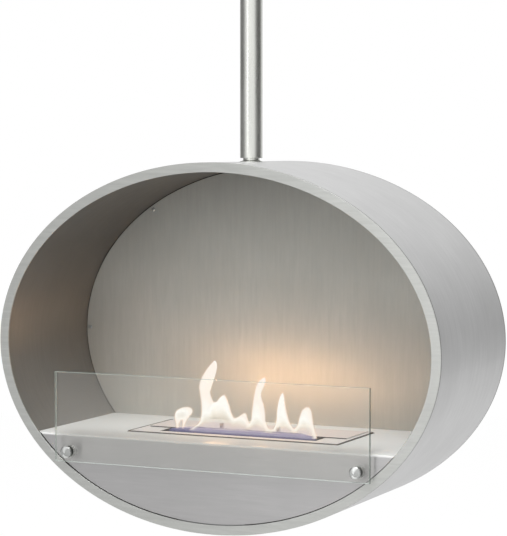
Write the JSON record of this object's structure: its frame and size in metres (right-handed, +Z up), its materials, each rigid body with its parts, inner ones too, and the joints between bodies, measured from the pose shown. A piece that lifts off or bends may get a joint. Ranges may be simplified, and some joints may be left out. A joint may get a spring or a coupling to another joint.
{
  "type": "hanging fireplace",
  "caption": "Oval double-walled fireplace drum hung from a ceiling tube, with a swivel, a folded hearth, a lift-out liquid-fuel burner with sliding lid, and a glass screen.",
  "frame": {"origin": "centre of the ceiling plate's upper face, on the tube's axis, where the fireplace is fixed to a ceiling", "axes": "+Z up, +X to the right seen from the open front, -Y out of the open front"},
  "size_m": [0.8, 0.3368, 1.13],
  "materials": {
    "brushed_shell": "fine brushed stainless steel",
    "brushed_rim": "brushed stainless steel",
    "brushed_hearth": "brushed stainless steel",
    "liner_steel": "heat-toned brushed stainless steel",
    "satin_tube": "satin polished stainless steel",
    "burner_steel": "brushed stainless steel",
    "turned_steel": "turned stainless steel",
    "inner_steel": "plain mill finish steel",
    "bronze": "sintered bronze",
    "zinc_hardware": "bright zinc",
    "clear_glass": "clear toughened glass",
    "clear_gasket": "translucent silicone",
    "ceramic_fibre": "felted ceramic fibre"
  },
  "bodies": {
    "ceiling_mount": {"ceiling_plate": "inner_steel", "hanging_tube": "satin_tube", "tube_screws": "zinc_hardware", "swivel_housing": "inner_steel", "swivel_bush": "bronze", "thrust_washer": "bronze"},
    "canopy": {"canopy": "brushed_shell", "canopy_collar": "brushed_shell", "collar_grub_screw": "zinc_hardware"},
    "drum": {"swivel_spindle": "satin_tube", "castle_nut": "zinc_hardware", "split_pin": "zinc_hardware", "flared_base": "satin_tube", "saddle_plate": "inner_steel", "saddle_spacer": "inner_steel", "foot_washer": "turned_steel", "thin_nut": "zinc_hardware", "outer_shell": "brushed_shell", "front_rim": "brushed_rim", "rear_rim": "brushed_rim", "inner_liner": "liner_steel", "liner_spacers": "inner_steel", "back_flange": "inner_steel", "fire_back": "liner_steel", "fire_back_screws": "zinc_hardware", "rear_flange": "inner_steel", "rear_cover": "brushed_shell", "rear_cover_screws": "zinc_hardware", "hearth_deck": "brushed_hearth", "left_deck_rail": "inner_steel", "right_deck_rail": "inner_steel", "panel_catch": "inner_steel", "drip_tray": "inner_steel", "glass_pane": "clear_glass", "glass_gaskets": "clear_gasket", "standoff_barrels": "turned_steel", "standoff_caps": "turned_steel", "standoff_studs": "zinc_hardware", "standoff_washers": "zinc_hardware", "standoff_nuts": "zinc_hardware"},
    "burner": {"burner_plate": "burner_steel", "fuel_reservoir": "inner_steel", "ceramic_wool": "ceramic_fibre"},
    "burner_lid": {"burner_lid": "burner_steel", "lid_knobs": "burner_steel", "lid_guide_studs": "zinc_hardware"}
  },
  "joints": [
    {"name": "canopy_slide", "type": "slide", "parent": "ceiling_mount", "child": "canopy", "axis": [0, 0, -1], "range_m": [0, 0.25]},
    {"name": "drum_swivel", "type": "hinge", "parent": "ceiling_mount", "child": "drum", "pos_m": [0, 0, -0.5], "axis": [0, 0, 1], "continuous": true},
    {"name": "burner_lift", "type": "slide", "parent": "drum", "child": "burner", "axis": [0, 0, 1], "range_m": [0, 0.12]},
    {"name": "lid_slide", "type": "slide", "parent": "burner", "child": "burner_lid", "axis": [0, -1, 0], "range_m": [0, 0.042]}
  ]
}
